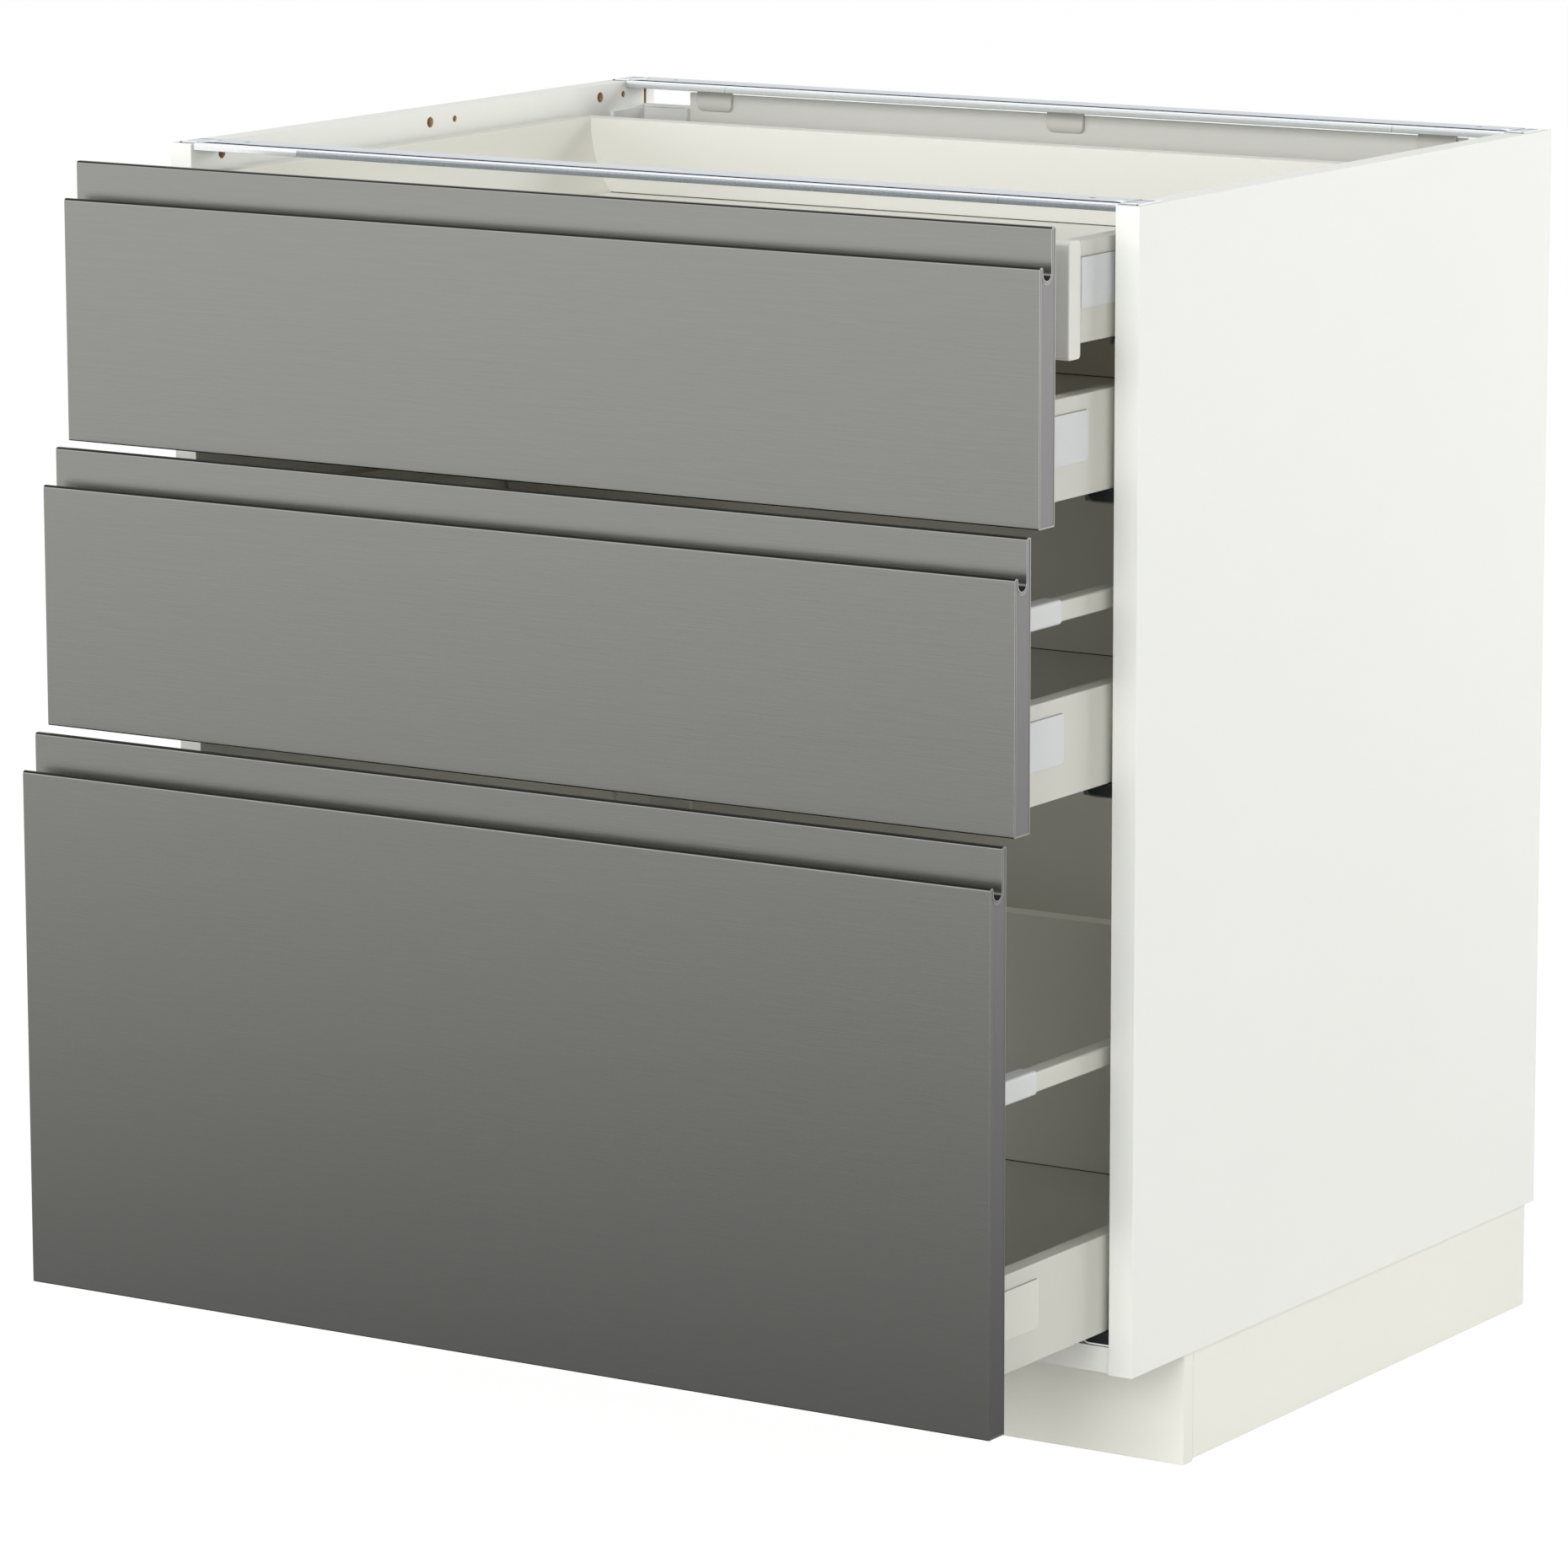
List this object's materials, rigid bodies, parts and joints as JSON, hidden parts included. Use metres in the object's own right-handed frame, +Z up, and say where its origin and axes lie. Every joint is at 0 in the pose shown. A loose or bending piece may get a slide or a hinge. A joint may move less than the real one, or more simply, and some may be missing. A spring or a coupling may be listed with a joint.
{
  "type": "kitchen base cabinet with drawers",
  "caption": "White base cabinet on a plinth with stacked pull-out drawers behind steel-look fronts with finger grooves; a shallow inner drawer hides behind the top front",
  "frame": {"origin": "floor level, in the middle of the outline in plan with the drawers as far out as in the picture", "axes": "+X along the front to the right seen from the front, +Y from the fronts to the back, +Z up"},
  "size_m": [0.8, 0.7864, 0.881],
  "materials": {
    "white_board": "white melamine on chipboard, satin",
    "plinth_board": "white foil on board, satin",
    "back_board": "white painted hardboard, matt",
    "corner_plastic": "grey moulded profile, matt",
    "clip_plastic": "off-white moulded plastic, satin",
    "galvanised_steel": "galvanised sheet steel with a fine spangle",
    "fitting_metal": "zinc cams and bolts",
    "dowel_wood": "beech, plain",
    "leg_plastic": "black moulded plastic",
    "runner_steel": "zinc plated steel",
    "screw_steel": "zinc plated steel",
    "guide_plastic": "black moulded plastic",
    "damper_plastic": "grey moulded plastic",
    "steel_front": "board core under a skin of brushed stainless steel foil",
    "inner_front_board": "white foil on board, satin",
    "drawer_side_steel": "white powder-coated steel",
    "drawer_floor_board": "white melamine, matt",
    "drawer_back_board": "white melamine, matt",
    "cap_plastic": "pale grey moulded plastic, satin",
    "bracket_plastic": "pale grey moulded plastic, satin"
  },
  "bodies": {
    "cabinet": {"side_panel_left": "white_board", "side_panel_right": "white_board", "bottom_panel": "white_board", "plinth_front": "plinth_board", "plinth_left": "plinth_board", "plinth_right": "plinth_board", "back_panel": "back_board", "back_corner_profiles": "corner_plastic", "back_panel_clips": "clip_plastic", "top_rail_front": "galvanised_steel", "top_rail_rear": "galvanised_steel", "rail_end_connectors": "galvanised_steel", "cam_fittings": "fitting_metal", "frame_dowels": "dowel_wood", "legs": "leg_plastic", "plinth_clips": "leg_plastic", "runners_fixed": "runner_steel", "runner_screws": "screw_steel", "runner_front_guides": "guide_plastic", "runner_dampers": "damper_plastic"},
    "foot_front_left": {"foot_front_left": "leg_plastic"},
    "foot_front_right": {"foot_front_right": "leg_plastic"},
    "foot_rear_left": {"foot_rear_left": "leg_plastic"},
    "foot_rear_right": {"foot_rear_right": "leg_plastic"},
    "drawer_inner": {"drawer_inner_front": "inner_front_board", "drawer_inner_side_left": "drawer_side_steel", "drawer_inner_side_right": "drawer_side_steel", "drawer_inner_bottom": "drawer_floor_board", "drawer_inner_back": "drawer_back_board", "drawer_inner_fittings": "runner_steel", "drawer_inner_caps": "cap_plastic"},
    "middle_runners_inner": {"runner_middle_inner": "runner_steel"},
    "drawer_low": {"drawer_low_front": "steel_front", "drawer_low_side_left": "drawer_side_steel", "drawer_low_side_right": "drawer_side_steel", "drawer_low_bottom": "drawer_floor_board", "drawer_low_back": "drawer_back_board", "drawer_low_fittings": "runner_steel", "drawer_low_caps": "cap_plastic"},
    "middle_runners_low": {"runner_middle_low": "runner_steel"},
    "drawer_medium": {"drawer_medium_front": "steel_front", "drawer_medium_side_left": "drawer_side_steel", "drawer_medium_side_right": "drawer_side_steel", "drawer_medium_bottom": "drawer_floor_board", "drawer_medium_back": "drawer_back_board", "drawer_medium_fittings": "runner_steel", "drawer_medium_caps": "cap_plastic", "drawer_medium_side_rails": "drawer_side_steel", "drawer_medium_rail_brackets": "bracket_plastic"},
    "middle_runners_medium": {"runner_middle_medium": "runner_steel"},
    "drawer_high": {"drawer_high_front": "steel_front", "drawer_high_side_left": "drawer_side_steel", "drawer_high_side_right": "drawer_side_steel", "drawer_high_bottom": "drawer_floor_board", "drawer_high_back": "drawer_back_board", "drawer_high_fittings": "runner_steel", "drawer_high_caps": "cap_plastic", "drawer_high_side_rails": "drawer_side_steel", "drawer_high_rail_brackets": "bracket_plastic"},
    "middle_runners_high": {"runner_middle_high": "runner_steel"}
  },
  "joints": [
    {"name": "foot_front_left_screw_out", "type": "slide", "parent": "cabinet", "child": "foot_front_left", "axis": [0, 0, -1], "range_m": [0, 0.02]},
    {"name": "foot_front_right_screw_out", "type": "slide", "parent": "cabinet", "child": "foot_front_right", "axis": [0, 0, -1], "range_m": [0, 0.02]},
    {"name": "foot_rear_left_screw_out", "type": "slide", "parent": "cabinet", "child": "foot_rear_left", "axis": [0, 0, -1], "range_m": [0, 0.02]},
    {"name": "foot_rear_right_screw_out", "type": "slide", "parent": "cabinet", "child": "foot_rear_right", "axis": [0, 0, -1], "range_m": [0, 0.02]},
    {"name": "inner_drawer_slide", "type": "slide", "parent": "cabinet", "child": "drawer_inner", "axis": [0, -1, 0], "range_m": [-0.06805, 0.25897]},
    {"name": "inner_middle_runner_slide", "type": "slide", "parent": "cabinet", "child": "middle_runners_inner", "axis": [0, -1, 0], "range_m": [-0.03405, 0.12951]},
    {"name": "low_drawer_slide", "type": "slide", "parent": "cabinet", "child": "drawer_low", "axis": [0, -1, 0], "range_m": [-0.104, 0.396]},
    {"name": "low_middle_runner_slide", "type": "slide", "parent": "cabinet", "child": "middle_runners_low", "axis": [0, -1, 0], "range_m": [-0.05205, 0.19805]},
    {"name": "medium_drawer_slide", "type": "slide", "parent": "cabinet", "child": "drawer_medium", "axis": [0, -1, 0], "range_m": [-0.134, 0.366]},
    {"name": "medium_middle_runner_slide", "type": "slide", "parent": "cabinet", "child": "middle_runners_medium", "axis": [0, -1, 0], "range_m": [-0.06705, 0.18305]},
    {"name": "high_drawer_slide", "type": "slide", "parent": "cabinet", "child": "drawer_high", "axis": [0, -1, 0], "range_m": [-0.164, 0.336]},
    {"name": "high_middle_runner_slide", "type": "slide", "parent": "cabinet", "child": "middle_runners_high", "axis": [0, -1, 0], "range_m": [-0.08205, 0.16805]}
  ],
  "couplings": [
    {"joint": "inner_drawer_slide", "follows": "low_drawer_slide", "ratio": 0.65385},
    {"joint": "inner_middle_runner_slide", "follows": "low_drawer_slide", "ratio": 0.32692},
    {"joint": "low_middle_runner_slide", "follows": "low_drawer_slide", "ratio": 0.5},
    {"joint": "medium_middle_runner_slide", "follows": "medium_drawer_slide", "ratio": 0.5},
    {"joint": "high_middle_runner_slide", "follows": "high_drawer_slide", "ratio": 0.5}
  ]
}
